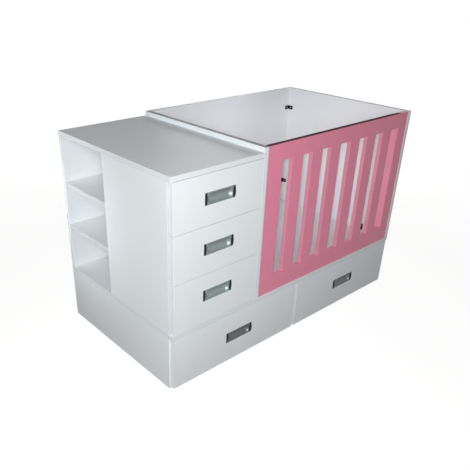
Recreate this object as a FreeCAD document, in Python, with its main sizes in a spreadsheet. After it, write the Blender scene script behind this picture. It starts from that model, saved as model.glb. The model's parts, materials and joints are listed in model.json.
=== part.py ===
"""Crib on a two-drawer base, with a three-drawer chest and open niches at its left end.

Millimetres. +X runs along the length towards the crib's right end, +Y from the front to the back, +Z up.
The origin is on the floor, at the middle of the base.
"""
import FreeCAD, Part
import itertools
import os
import re

import Sketcher

# Driving sizes. Every piece takes its size and place from these values.
SIZES = {
    "board": 18,  # thickness of the carcass boards, drawer fronts and rail
    "base_length": 1336,
    "base_depth": 700,
    "base_height": 243,  # floor to the top of the base, which is the crib's floor
    "chest_width": 413,
    "chest_height": 587,  # above the base
    "drawer_bay": 354,  # depth of the chest's drawer bay, from the carcass edge to the partition
    "crib_wall_height": 606,  # above the base
    "edge_band": 1,  # thickness of the dark banding on the top edges
    "rail_setback": 1.5,  # rail's face behind the end panels' front edges
    "rail_gap": 1.5,  # between the rail's ends and the end panels
    "rail_foot": 73,  # solid strip of the rail below its slots
    "rail_head": 64,  # solid strip above the slots, with the banding
    "rail_left_stile": 79,  # solid strip left of the first slot
    "rail_right_stile": 60,  # solid strip right of the last slot
    "batten_drop": 20,  # top of the batten behind that strip, below the top of the crib's walls
    "slot_width": 54,
    "middle_slot_width": 66,
    "front_air": 2,  # between a drawer front's back and the carcass edges
    "front_gap": 2,  # between neighbouring drawer fronts, and between fronts and boards
    "side_reveal": 7,  # carcass edge that shows beside the outermost fronts
    "divider_reveal": 14,  # divider edge that shows between the base fronts
    "floor_clearance": 8,  # below the base fronts
    "box_wall": 15,  # thickness of the drawer boxes' sides and backs
    "box_floor": 3,  # thickness of the drawer bottoms
    "box_lift": 18,  # drawer sides above the lower edge of their front
    "box_headroom": 46,  # by how much a front is taller than its drawer sides
    "chest_back_air": 6,  # behind the chest's drawer boxes
    "base_back_air": 64,  # behind the base's drawer boxes
    "runner_gap": 12.5,  # between a drawer box and its bay on each side
    "runner_depth": 10,  # depth of the cabinet's runner channel
    "runner_height": 35,
    "runner_sheet": 1.2,
    "runner_play": 0.4,  # running clearance between the two runner members
    "runner_lift": 40,  # runner above the lower edge of the drawer sides
    "pull_length": 136,
    "pull_height": 44,
    "pull_depth": 11,  # depth of the dish below the flange's face
    "pull_flange": 1.5,  # thickness of the flange on the drawer front
    "pull_trim": 8.5,  # width of each end piece
    "pull_bow": 3,  # by how much an end piece bulges at its middle
    "dish_margin": 4,  # flat flange round the dish
    "cup_wall": 1.2,
    "pocket_play": 0.5,  # round the cup in the front's pocket
    "pocket_air": 2,  # behind the cup in the front's pocket
    "bottom_drawer_extra": 18,  # by how much the bottom chest front is taller than the others
    "chest_pull_rise": 5,  # pull above the middle of an upper chest front
    "base_pull_rise": 3,  # pull above the middle of a base front
    "brace_leg": 28,
    "brace_width": 18,
    "brace_thickness": 4,
    "upper_brace_drop": 97,  # upper corner braces below the top of the crib's walls
    "lower_brace_rise": 112,  # lower corner braces above the crib's floor
    "floor_brace_inset": 140,  # floor braces from the front and back of the base
    "screw_reach": 18,  # screw from a brace's corner
    "screw_diameter": 3.5,
    "screw_length": 14,
    "screw_head": 7.5,
    "screw_head_height": 1.8,
    "screw_play": 0.1,
    "dowel_diameter": 8,
    "dowel_in_face": 12,  # dowel's length in the face of a board
    "dowel_in_edge": 18,  # dowel's length in the edge of a board
    "dowel_inset": 60,  # dowels from the ends of a joint
    "dowel_play": 0.1,
}
CHEST_DRAWERS = ("chest_drawer_bottom", "chest_drawer_middle", "chest_drawer_top")
SLOT_COUNT = 7

# Named places, as formulas of the sizes.
LEFT = "(-base_length / 2)"
RIGHT = "(base_length / 2)"
FRONT = "(-base_depth / 2)"
BACK = "(base_depth / 2)"
CARCASS_FRONT = f"({FRONT} + board + front_air)"
INNER_BACK = f"({BACK} - board)"
BASE_ROOM = "(base_height - board)"
CHEST_RIGHT = f"({LEFT} + chest_width)"
CHEST_ROOM = "(chest_height - board)"
CHEST_CEILING = f"(base_height + {CHEST_ROOM})"
PARTITION = f"({CARCASS_FRONT} + drawer_bay)"
NICHE_FRONT = f"({PARTITION} + board)"
WELL_LEFT = f"({CHEST_RIGHT} + board)"
WELL_RIGHT = f"({RIGHT} - board)"
WELL_FRONT = f"({FRONT} + rail_setback + board)"
WALL_TOP = "(base_height + crib_wall_height)"
RAIL_LEFT = f"({WELL_LEFT} + rail_gap)"
RAIL_LENGTH = f"({WELL_RIGHT} - rail_gap - {RAIL_LEFT})"
RAIL_HEIGHT = "(crib_wall_height - edge_band)"
RAIL_BAR = (
    f"(({RAIL_LENGTH} - rail_left_stile - rail_right_stile - middle_slot_width"
    f" - {SLOT_COUNT - 1} * slot_width) / {SLOT_COUNT - 1})"
)
DRAWER_COUNT = len(CHEST_DRAWERS)
CHEST_FRONT_HEIGHT = (
    f"(({CHEST_ROOM} - {DRAWER_COUNT + 1} * front_gap - bottom_drawer_extra) / {DRAWER_COUNT})"
)
BOTTOM_FRONT_TOP = f"(base_height + front_gap + {CHEST_FRONT_HEIGHT} + bottom_drawer_extra)"
CHEST_FRONT_TOPS = [
    f"({BOTTOM_FRONT_TOP} + {level} * ({CHEST_FRONT_HEIGHT} + front_gap))" for level in range(DRAWER_COUNT)
]
CUP_LENGTH = "(pull_length - 2 * pull_trim)"
DISH_HALF = "(pull_height / 2 - dish_margin)"
DISH_RADIUS = f"(({DISH_HALF} * {DISH_HALF} + pull_depth * pull_depth) / (2 * pull_depth))"
DISH_STRAIGHT = f"({CUP_LENGTH} - 2 * dish_margin - 2 * {DISH_HALF})"
POCKET_HEIGHT = f"(2 * ({DISH_HALF} + cup_wall + pocket_play))"
POCKET_WIDTH = f"({DISH_STRAIGHT} + {POCKET_HEIGHT})"
POCKET_DEPTH = "(pull_depth - pull_flange + cup_wall + pocket_air)"
BOW_RADIUS = "((pull_height * pull_height / 4 + pull_bow * pull_bow) / (2 * pull_bow))"

AXES = "xyz"
BOX_SIDES = ("Length", "Width", "Height")
OPPOSITE = {"+": "-", "-": "+"}

doc = FreeCAD.newDocument("crib_with_drawers")
sheet = doc.addObject("Spreadsheet::Sheet", "Sizes")
for row, (size_name, value) in enumerate(SIZES.items(), start=1):
    sheet.set(f"A{row}", size_name)
    sheet.set(f"B{row}", str(value))
    sheet.setAlias(f"B{row}", size_name)
doc.recompute()

blanks = {}  # boards before drilling, by node name
drillings = {}  # holes to drill in each board, by node name
nodes = {}  # finished sub-parts, by node name


def bind(item, setting, formula):
    """Binds a setting to a formula, in which each size's name stands for its cell."""

    def cell(word):
        return f"Sizes.{word[0]}" if word[0] in SIZES else word[0]

    item.setExpression(setting, re.sub("[a-z_]+", cell, formula))


def place(item, point):
    for axis, formula in zip(AXES, point):
        bind(item, f"Placement.Base.{axis}", formula)


def shifted(point, direction, distance):
    """A point moved along a signed axis such as +x."""
    sign, axis = direction
    moved = list(point)
    moved[AXES.index(axis)] += f" {sign} ({distance})"
    return moved


def reverse(direction):
    return OPPOSITE[direction[0]] + direction[1]


def slab(name, corner, spans):
    """A box that grows from a corner by a length along each signed axis."""
    box = doc.addObject("Part::Box", name)
    for (sign, axis), length in spans.items():
        index = AXES.index(axis)
        bind(box, BOX_SIDES[index], length)
        start = corner[index] if sign == "+" else f"{corner[index]} - ({length})"
        bind(box, f"Placement.Base.{axis}", start)
    return box


def block(name, corner, size):
    return slab(name, corner, dict(zip(("+x", "+y", "+z"), size)))


def rod(name, start, direction, diameter, length):
    """A cylinder that runs from a point along a signed axis."""
    sign, axis = direction
    aim = FreeCAD.Vector(*(float(f"{sign}1") if axis == other else 0 for other in AXES))
    cylinder = doc.addObject("Part::Cylinder", name)
    cylinder.Placement.Rotation = FreeCAD.Rotation(FreeCAD.Vector(0, 0, 1), aim)
    bind(cylinder, "Radius", f"({diameter}) / 2")
    bind(cylinder, "Height", length)
    place(cylinder, start)
    return cylinder


def combined(kind, name, base, tool):
    """A Part::Cut, Part::Fuse or Part::Common of two objects."""
    result = doc.addObject(kind, name)
    result.Base = base
    result.Tool = tool
    return result


def group(name, items):
    compound = doc.addObject("Part::Compound", name)
    compound.Links = items
    return compound


def board(name, corner, size):
    blanks[name] = block(f"{name}_blank", corner, size)
    drillings[name] = []


def sketch_on_face(body, name):
    """A sketch on the body's upright plane, with X to the right and Y up."""
    sketch = body.newObject("Sketcher::SketchObject", name)
    upright = next(plane for plane in body.Origin.OriginFeatures if plane.Role == "XZ_Plane")
    sketch.AttachmentSupport = [(upright, "")]
    sketch.MapMode = "FlatFace"
    return sketch


def rectangle(sketch, left, bottom, width, height):
    """A rectangle bound to formulas. A left of None puts its lower left corner at the origin."""
    first = sketch.GeometryCount
    corners = [FreeCAD.Vector(*corner, 0) for corner in ((1, 1), (9, 1), (9, 9), (1, 9))]
    for start, end in zip(corners, corners[1:] + corners[:1]):
        sketch.addGeometry(Part.LineSegment(start, end))
    for side in range(4):
        sketch.addConstraint(Sketcher.Constraint("Coincident", first + side, 2, first + (side + 1) % 4, 1))
        level = "Horizontal" if side % 2 == 0 else "Vertical"
        sketch.addConstraint(Sketcher.Constraint(level, first + side))
    dimensions = [
        (("DistanceX", first, 1, first, 2), width),
        (("DistanceY", first + 1, 1, first + 1, 2), height),
    ]
    if left is None:
        sketch.addConstraint(Sketcher.Constraint("Coincident", -1, 1, first, 1))
    else:
        dimensions.append((("DistanceX", -1, 1, first, 1), left))
        dimensions.append((("DistanceY", -1, 1, first, 1), bottom))
    for (kind, *points), formula in dimensions:
        index = sketch.addConstraint(Sketcher.Constraint(kind, *points, 8.0))
        bind(sketch, f"Constraints[{index}]", formula)


def cut_board(name, corner, width, height, openings, depth=None):
    """An upright board with rectangular openings, right through or to a depth from its front face."""
    body = doc.addObject("PartDesign::Body", name)
    place(body, corner)
    outline = sketch_on_face(body, f"{name}_outline")
    rectangle(outline, None, None, width, height)
    pad = body.newObject("PartDesign::Pad", f"{name}_pad")
    pad.Profile = outline
    pad.Reversed = True
    bind(pad, "Length", "board")
    cut_outline = sketch_on_face(body, f"{name}_cut_outline")
    for opening in openings:
        rectangle(cut_outline, *opening)
    pocket = body.newObject("PartDesign::Pocket", f"{name}_pocket")
    pocket.Profile = cut_outline
    if depth is None:
        pocket.Type = "ThroughAll"
    else:
        bind(pocket, "Length", depth)
    doc.recompute()
    if body.Shape.Volume >= pad.Shape.Volume:
        raise RuntimeError(f"the openings of {name} cut nothing")
    return body


# Base carcass. Its top board is also the crib's floor.
BASE_SIDE = ("board", f"{BACK} - {CARCASS_FRONT}", BASE_ROOM)
BASE_DIVIDER = ("board", f"{INNER_BACK} - {CARCASS_FRONT}", BASE_ROOM)
BASE_BACK = ("base_length - 2 * board", "board", BASE_ROOM)
board("base_left_side", (LEFT, CARCASS_FRONT, "0"), BASE_SIDE)
board("base_right_side", (WELL_RIGHT, CARCASS_FRONT, "0"), BASE_SIDE)
board("base_divider", ("-board / 2", CARCASS_FRONT, "0"), BASE_DIVIDER)
board("base_back_panel", (f"{LEFT} + board", INNER_BACK, "0"), BASE_BACK)
board("base_top_board", (LEFT, FRONT, BASE_ROOM), ("base_length", "base_depth", "board"))

# Chest carcass, with a drawer bay in front of the partition and open niches behind it.
INNER_CHEST = (f"{LEFT} + board", f"{CHEST_RIGHT} - board")
board(
    "chest_left_side",
    (LEFT, CARCASS_FRONT, "base_height"),
    ("board", f"{NICHE_FRONT} - {CARCASS_FRONT}", CHEST_ROOM),
)
board(
    "chest_right_side",
    (INNER_CHEST[1], CARCASS_FRONT, "base_height"),
    ("board", f"{INNER_BACK} - {CARCASS_FRONT}", CHEST_ROOM),
)
board(
    "chest_partition",
    (INNER_CHEST[0], PARTITION, "base_height"),
    ("chest_width - 2 * board", "board", CHEST_ROOM),
)
board("chest_back_panel", (LEFT, INNER_BACK, "base_height"), ("chest_width", "board", CHEST_ROOM))
board("chest_top_board", (LEFT, FRONT, CHEST_CEILING), ("chest_width", "base_depth", "board"))

# Niche shelves, level with the tops of the two lower drawer fronts.
SHELF_TOPS = dict(zip(("niche_shelf_lower", "niche_shelf_upper"), CHEST_FRONT_TOPS))
for shelf, shelf_top in SHELF_TOPS.items():
    board(
        shelf,
        (LEFT, NICHE_FRONT, f"{shelf_top} - board"),
        ("chest_width - board", f"{INNER_BACK} - {NICHE_FRONT}", "board"),
    )

# Crib walls. The back panel runs behind both end panels.
END_DEPTH = "base_depth - board"
board("crib_left_end_panel", (CHEST_RIGHT, FRONT, "base_height"), ("board", END_DEPTH, RAIL_HEIGHT))
board("crib_right_end_panel", (WELL_RIGHT, FRONT, "base_height"), ("board", END_DEPTH, "crib_wall_height"))
board(
    "crib_back_panel",
    (CHEST_RIGHT, INNER_BACK, "base_height"),
    ("base_length - chest_width", "board", "crib_wall_height"),
)

# Slotted front rail between the end panels. Its middle slot is wider than the others.
slots = []
slot_left = "rail_left_stile"
for number in range(SLOT_COUNT):
    width = "middle_slot_width" if number == SLOT_COUNT // 2 else "slot_width"
    slots.append((slot_left, "rail_foot", width, "crib_wall_height - rail_foot - rail_head"))
    slot_left += f" + {width} + {RAIL_BAR}"
RAIL_CORNER = (RAIL_LEFT, f"{FRONT} + rail_setback", "base_height")
blanks["front_rail"] = cut_board("front_rail_blank", RAIL_CORNER, RAIL_LENGTH, RAIL_HEIGHT, slots)
drillings["front_rail"] = []

# Batten behind the rail's right stile. It doubles the rail's thickness at the last slot.
BATTEN_LEFT = f"({RAIL_LEFT} + {RAIL_LENGTH} - rail_right_stile)"
BATTEN_BACK = f"({WELL_FRONT} + board)"
board(
    "rail_right_batten",
    (BATTEN_LEFT, WELL_FRONT, "base_height"),
    ("rail_right_stile", "board", "crib_wall_height - batten_drop"),
)

# Dark edge banding on the top edges of the rail, up to its batten, and of the left end panel.
BAND_BOTTOM = f"{WALL_TOP} - edge_band"
nodes["rail_edge_band"] = block(
    "rail_edge_band",
    (RAIL_LEFT, RAIL_CORNER[1], BAND_BOTTOM),
    (f"{BATTEN_LEFT} - {RAIL_LEFT}", "board", "edge_band"),
)
nodes["end_panel_edge_band"] = block(
    "end_panel_edge_band", (CHEST_RIGHT, FRONT, BAND_BOTTOM), ("board", END_DEPTH, "edge_band")
)

# Angle braces, each with a screw through either leg into the board behind it.
screws = []


def screw(leg_face, direction, drilled_board):
    """A pan-head screw on a brace's leg. Returns the hole that the leg needs."""
    name = f"brace_screw_{len(screws) + 1}"
    shank = rod(f"{name}_shank", leg_face, direction, "screw_diameter", "screw_length")
    head = rod(f"{name}_head", leg_face, reverse(direction), "screw_head", "screw_head_height")
    hole = rod(f"{name}_hole", leg_face, direction, "screw_diameter + 2 * screw_play", "screw_length")
    screws.append(combined("Part::Fuse", name, head, shank))
    drillings[drilled_board].append(hole)
    return hole


def brace(name, corner, legs):
    """An angle brace in a corner. Each leg is a direction, with the board that the leg lies on."""
    (first, first_board), (second, second_board) = legs
    across = next(axis for axis in AXES if axis not in first + second)
    middle = shifted(corner, f"-{across}", "brace_width / 2")
    parts = []
    holes = []
    for along, away, lies_on in ((first, second, first_board), (second, first, second_board)):
        spans = {along: "brace_leg", away: "brace_thickness", f"+{across}": "brace_width"}
        parts.append(slab(f"{name}_leg_{along[1]}", middle, spans))
        seat = shifted(shifted(corner, along, "screw_reach"), away, "brace_thickness")
        holes.append(screw(seat, reverse(away), lies_on))
    angle = combined("Part::Fuse", f"{name}_angle", *parts)
    return combined("Part::Cut", name, angle, group(f"{name}_holes", holes))


WELL_ENDS = {
    "left": (WELL_LEFT, "+x", "crib_left_end_panel"),
    "right": (WELL_RIGHT, "-x", "crib_right_end_panel"),
}
BACK_FACE = (INNER_BACK, "-y", "crib_back_panel")
WELL_FACES = {
    "left": {"front": (WELL_FRONT, "+y", "front_rail"), "back": BACK_FACE},
    "right": {"front": (BATTEN_BACK, "+y", "rail_right_batten"), "back": BACK_FACE},
}
BRACE_HEIGHTS = {
    "upper": f"{WALL_TOP} - upper_brace_drop",
    "lower": "base_height + lower_brace_rise",
}
corner_braces = []
floor_braces = []
for end, (end_face, from_end, end_board) in WELL_ENDS.items():
    for side, (side_face, from_side, side_board) in WELL_FACES[end].items():
        for level, height in BRACE_HEIGHTS.items():
            corner = (end_face, side_face, height)
            legs = ((from_end, side_board), (from_side, end_board))
            corner_braces.append(brace(f"corner_brace_{end}_{side}_{level}", corner, legs))
        outer_side = FRONT if side == "front" else BACK
        floor_corner = shifted((end_face, outer_side, "base_height"), from_side, "floor_brace_inset")
        legs = ((from_end, "base_top_board"), ("+z", end_board))
        floor_braces.append(brace(f"floor_brace_{end}_{side}", floor_corner, legs))
nodes["corner_braces"] = group("corner_braces", corner_braces)
nodes["floor_braces"] = group("floor_braces", floor_braces)
nodes["brace_screws"] = group("brace_screws", screws)

# Glued dowels, each partly in one board's face and partly in the edge of the board that meets it.
dowels = []


def dowel_joint(face_board, edge_board, direction, *places):
    """Dowels at each combination of the given X, Y and Z places. The direction points into the face."""
    for point in itertools.product(*places):
        name = f"joint_dowel_{len(dowels) + 1}"
        start = shifted(point, reverse(direction), "dowel_in_edge")
        length = "dowel_in_edge + dowel_in_face"
        dowels.append(rod(name, start, direction, "dowel_diameter", length))
        hole = rod(f"{name}_hole", start, direction, "dowel_diameter + 2 * dowel_play", length)
        drillings[face_board].append(hole)
        drillings[edge_board].append(hole)


def ends(start, stop, inset="dowel_inset"):
    return [f"{start} + {inset}", f"{stop} - {inset}"]


WIDE_INSET = "2 * dowel_inset"
BETWEEN_BRACES = "(floor_brace_inset + dowel_inset)"
LEFT_MIDDLE = [f"{LEFT} + board / 2"]
RIGHT_MIDDLE = [f"{RIGHT} - board / 2"]
BACK_MIDDLE = [f"{BACK} - board / 2"]
CHEST_SIDE_MIDDLE = [f"{CHEST_RIGHT} - board / 2"]
CRIB_END_MIDDLE = [f"{CHEST_RIGHT} + board / 2"]
PARTITION_MIDDLE = [f"{PARTITION} + board / 2"]
BASE_LEVELS = ends("0", BASE_ROOM)
CHEST_LEVELS = ends("base_height", CHEST_CEILING)
WALL_LEVELS = ends("base_height", WALL_TOP)
SIDE_RUN = ends(CARCASS_FRONT, BACK)
INNER_RUN = ends(CARCASS_FRONT, INNER_BACK)
BAY_RUN = ends(CARCASS_FRONT, NICHE_FRONT, WIDE_INSET)
WALL_RUN = ends(FRONT, BACK, BETWEEN_BRACES)
CHEST_RUN = ends(LEFT, CHEST_RIGHT)
CRIB_RUN = ends(CHEST_RIGHT, RIGHT)

dowel_joint("base_top_board", "base_left_side", "+z", LEFT_MIDDLE, SIDE_RUN, [BASE_ROOM])
dowel_joint("base_top_board", "base_right_side", "+z", RIGHT_MIDDLE, SIDE_RUN, [BASE_ROOM])
dowel_joint("base_top_board", "base_divider", "+z", ["0"], INNER_RUN, [BASE_ROOM])
dowel_joint("base_left_side", "base_back_panel", "-x", [f"{LEFT} + board"], BACK_MIDDLE, BASE_LEVELS)
dowel_joint("base_right_side", "base_back_panel", "+x", [WELL_RIGHT], BACK_MIDDLE, BASE_LEVELS)
dowel_joint("base_back_panel", "base_divider", "+y", ["0"], [INNER_BACK], BASE_LEVELS)

dowel_joint("base_top_board", "chest_left_side", "-z", LEFT_MIDDLE, BAY_RUN, ["base_height"])
dowel_joint("base_top_board", "chest_right_side", "-z", CHEST_SIDE_MIDDLE, INNER_RUN, ["base_height"])
dowel_joint("base_top_board", "chest_back_panel", "-z", CHEST_RUN, BACK_MIDDLE, ["base_height"])
dowel_joint("chest_top_board", "chest_left_side", "+z", LEFT_MIDDLE, BAY_RUN, [CHEST_CEILING])
dowel_joint("chest_top_board", "chest_right_side", "+z", CHEST_SIDE_MIDDLE, INNER_RUN, [CHEST_CEILING])
dowel_joint("chest_top_board", "chest_back_panel", "+z", CHEST_RUN, BACK_MIDDLE, [CHEST_CEILING])
dowel_joint("chest_left_side", "chest_partition", "-x", [INNER_CHEST[0]], PARTITION_MIDDLE, CHEST_LEVELS)
dowel_joint("chest_right_side", "chest_partition", "+x", [INNER_CHEST[1]], PARTITION_MIDDLE, CHEST_LEVELS)
dowel_joint("chest_back_panel", "chest_right_side", "+y", CHEST_SIDE_MIDDLE, [INNER_BACK], CHEST_LEVELS)
for shelf, shelf_top in SHELF_TOPS.items():
    shelf_middle = [f"{shelf_top} - board / 2"]
    shelf_front = [f"{LEFT} + dowel_inset"]
    shelf_run = ends(NICHE_FRONT, INNER_BACK)
    dowel_joint("chest_right_side", shelf, "+x", [INNER_CHEST[1]], shelf_run, shelf_middle)
    dowel_joint("chest_partition", shelf, "-y", shelf_front, [NICHE_FRONT], shelf_middle)
    dowel_joint("chest_back_panel", shelf, "+y", shelf_front, [INNER_BACK], shelf_middle)

dowel_joint("crib_back_panel", "crib_left_end_panel", "+y", CRIB_END_MIDDLE, [INNER_BACK], WALL_LEVELS)
dowel_joint("crib_back_panel", "crib_right_end_panel", "+y", RIGHT_MIDDLE, [INNER_BACK], WALL_LEVELS)
dowel_joint("base_top_board", "crib_left_end_panel", "-z", CRIB_END_MIDDLE, WALL_RUN, ["base_height"])
dowel_joint("base_top_board", "crib_right_end_panel", "-z", RIGHT_MIDDLE, WALL_RUN, ["base_height"])
dowel_joint("base_top_board", "crib_back_panel", "-z", CRIB_RUN, BACK_MIDDLE, ["base_height"])
RAIL_MIDDLE = [f"{RAIL_CORNER[1]} + board / 2"]
RAIL_RUN = ends(RAIL_LEFT, f"{RAIL_LEFT} + {RAIL_LENGTH}")
dowel_joint("base_top_board", "front_rail", "-z", RAIL_RUN, RAIL_MIDDLE, ["base_height"])
nodes["joint_dowels"] = group("joint_dowels", dowels)

for name, blank in blanks.items():
    nodes[name] = combined("Part::Cut", name, blank, group(f"{name}_drillings", drillings[name]))


def channel(name, corner, inward, length, depth, height):
    """A sheet-metal channel whose web is at the corner and whose flanges point inward."""
    spans = {inward: depth, "+y": length, "+z": height}
    solid = slab(f"{name}_solid", corner, spans)
    hollow_corner = shifted(shifted(corner, inward, "runner_sheet"), "+z", "runner_sheet")
    hollow = slab(f"{name}_hollow", hollow_corner, {**spans, "+z": f"{height} - 2 * runner_sheet"})
    return combined("Part::Cut", name, solid, hollow)


def capsule(name, middle, radius):
    """A round-ended rod along X, whose surface hollows the pull's dish."""
    start = shifted(middle, "-x", f"{DISH_STRAIGHT} / 2")
    stop = shifted(middle, "+x", f"{DISH_STRAIGHT} / 2")
    parts = [rod(f"{name}_rod", start, "+x", f"2 * ({radius})", DISH_STRAIGHT)]
    for end, centre in (("left", start), ("right", stop)):
        ball = doc.addObject("Part::Sphere", f"{name}_{end}_ball")
        bind(ball, "Radius", radius)
        place(ball, centre)
        parts.append(ball)
    result = doc.addObject("Part::MultiFuse", name)
    result.Shapes = parts
    return result


def pull(drawer, middle_x, middle_z):
    """A flush pull on a drawer front: a dished metal cup between two bowed end pieces."""
    face = f"({FRONT} - pull_flange)"
    bottom = f"{middle_z} - pull_height / 2"
    left = f"{middle_x} - pull_length / 2"
    cup_left = f"{left} + pull_trim"
    cup = f"{drawer}_pull_cup"
    dish_axis = (middle_x, f"{face} + pull_depth - {DISH_RADIUS}", middle_z)
    flange = block(f"{cup}_flange", (cup_left, face, bottom), (CUP_LENGTH, "pull_flange", "pull_height"))
    room = block(f"{cup}_room", (cup_left, FRONT, bottom), (CUP_LENGTH, POCKET_DEPTH, "pull_height"))
    outside = capsule(f"{cup}_outside", dish_axis, f"{DISH_RADIUS} + cup_wall")
    bowl = combined("Part::Common", f"{cup}_bowl", outside, room)
    solid = combined("Part::Fuse", f"{cup}_solid", flange, bowl)
    nodes[cup] = combined("Part::Cut", cup, solid, capsule(f"{cup}_dish", dish_axis, DISH_RADIUS))

    trims = []
    for end, trim_left in (("left", left), ("right", f"{cup_left} + {CUP_LENGTH}")):
        name = f"{drawer}_{end}_trim"
        trim_face = f"{face} - pull_bow"
        size = ("pull_trim", "pull_flange + pull_bow", "pull_height")
        stock = block(f"{name}_stock", (trim_left, trim_face, bottom), size)
        bow_axis = (trim_left, f"{trim_face} + {BOW_RADIUS}", middle_z)
        bow = rod(f"{name}_bow", bow_axis, "+x", f"2 * {BOW_RADIUS}", "pull_trim")
        trims.append(combined("Part::Common", name, stock, bow))
    nodes[f"{drawer}_pull_trims"] = group(f"{drawer}_pull_trims", trims)


def drawer(name, front_corner, front_size, bay, back_air, bay_back, pull_rise):
    """A drawer: overlay front, box, pull and drawer runners. Returns the cabinet's runner members."""
    front_left, front_bottom = front_corner
    front_width, front_height = front_size
    bay_left, bay_right = bay
    pocket_left = f"({front_width} - {POCKET_WIDTH}) / 2"
    pocket_bottom = f"({front_height} - {POCKET_HEIGHT}) / 2 + {pull_rise}"
    pocket = (pocket_left, pocket_bottom, POCKET_WIDTH, POCKET_HEIGHT)
    corner = (front_left, FRONT, front_bottom)
    front = f"{name}_front"
    nodes[front] = cut_board(front, corner, front_width, front_height, [pocket], POCKET_DEPTH)
    pull_middle = f"({front_bottom} + {front_height} / 2 + {pull_rise})"
    pull(name, f"({front_left} + {front_width} / 2)", pull_middle)

    box_left = f"({bay_left} + runner_gap)"
    box_right = f"({bay_right} - runner_gap)"
    box_front = f"({FRONT} + board)"
    box_length = f"({bay_back} - {back_air} - {box_front})"
    box_bottom = f"({front_bottom} + box_lift)"
    box_height = f"({front_height} - box_headroom)"
    side_size = ("box_wall", box_length, box_height)
    left_side = block(f"{name}_left_side", (box_left, box_front, box_bottom), side_size)
    right_side = block(f"{name}_right_side", (f"{box_right} - box_wall", box_front, box_bottom), side_size)
    nodes[f"{name}_sides"] = group(f"{name}_sides", [left_side, right_side])
    nodes[f"{name}_back"] = block(
        f"{name}_back",
        (f"{box_left} + box_wall", f"{box_front} + {box_length} - box_wall", box_bottom),
        (f"{box_right} - {box_left} - 2 * box_wall", "box_wall", box_height),
    )
    nodes[f"{name}_bottom"] = block(
        f"{name}_bottom",
        (box_left, box_front, f"{box_bottom} - box_floor"),
        (f"{box_right} - {box_left}", box_length, "box_floor"),
    )

    runner_bottom = f"{box_bottom} + runner_lift"
    member_bottom = f"{runner_bottom} + runner_sheet + runner_play"
    member_depth = "runner_gap - runner_sheet - runner_play"
    member_height = "(runner_height - 2 * runner_sheet - 2 * runner_play)"
    rail_length = f"{box_front} + {box_length} - {CARCASS_FRONT}"
    rails = []
    members = []
    runner_sides = (("left", bay_left, "+x", box_left), ("right", bay_right, "-x", box_right))
    for end, bay_face, inward, box_face in runner_sides:
        rail_corner = (bay_face, CARCASS_FRONT, runner_bottom)
        rail_name = f"{name}_{end}_runner_rail"
        rails.append(channel(rail_name, rail_corner, inward, rail_length, "runner_depth", "runner_height"))
        member_corner = (box_face, box_front, member_bottom)
        member_name = f"{name}_{end}_runner"
        members.append(
            channel(member_name, member_corner, reverse(inward), box_length, member_depth, member_height)
        )
    nodes[f"{name}_runners"] = group(f"{name}_runners", members)
    return rails


# Chest drawers, one above the other. All the pulls are equally far below the tops of their fronts.
CHEST_FRONT_WIDTH = "(chest_width - side_reveal - front_gap)"
chest_rails = []
for name, front_top in zip(CHEST_DRAWERS, CHEST_FRONT_TOPS):
    extra = "bottom_drawer_extra" if name == CHEST_DRAWERS[0] else "0"
    front_height = f"({CHEST_FRONT_HEIGHT} + {extra})"
    corner = (f"({LEFT} + side_reveal)", f"({front_top} - {front_height})")
    size = (CHEST_FRONT_WIDTH, front_height)
    pull_rise = f"(chest_pull_rise + {extra} / 2)"
    chest_rails += drawer(name, corner, size, INNER_CHEST, "chest_back_air", PARTITION, pull_rise)
nodes["chest_runner_rails"] = group("chest_runner_rails", chest_rails)

# Base drawers, side by side on either side of the divider.
BASE_FRONT_SIZE = (
    "(base_length / 2 - side_reveal - divider_reveal / 2)",
    f"({BASE_ROOM} - front_gap - floor_clearance)",
)
BASE_DRAWERS = {
    "base_drawer_left": (f"({LEFT} + side_reveal)", (f"({LEFT} + board)", "(-board / 2)")),
    "base_drawer_right": ("(divider_reveal / 2)", ("(board / 2)", WELL_RIGHT)),
}
base_rails = []
for name, (front_left, bay) in BASE_DRAWERS.items():
    corner = (front_left, "floor_clearance")
    base_rails += drawer(name, corner, BASE_FRONT_SIZE, bay, "base_back_air", INNER_BACK, "base_pull_rise")
nodes["base_runner_rails"] = group("base_runner_rails", base_rails)

doc.recompute()
for item in doc.Objects:
    if "Invalid" in item.State or "Error" in item.State:
        raise RuntimeError(f"{item.Label} did not compute: {item.State}")
for name, node in nodes.items():
    if node.Label != name:
        raise RuntimeError(f"{node.Label} should be labelled {name}")
    if node.Shape.isNull() or not node.Shape.isValid() or not node.Shape.Solids:
        raise RuntimeError(f"{name} has no valid solid")

os.makedirs("parts", exist_ok=True)
for name, node in nodes.items():
    node.Shape.exportStep(f"parts/{name}.step")
print(f"{len(nodes)} sub-parts written")
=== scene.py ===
import json
import math

import bmesh
import bpy
from mathutils import Euler, Matrix, Vector


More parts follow.
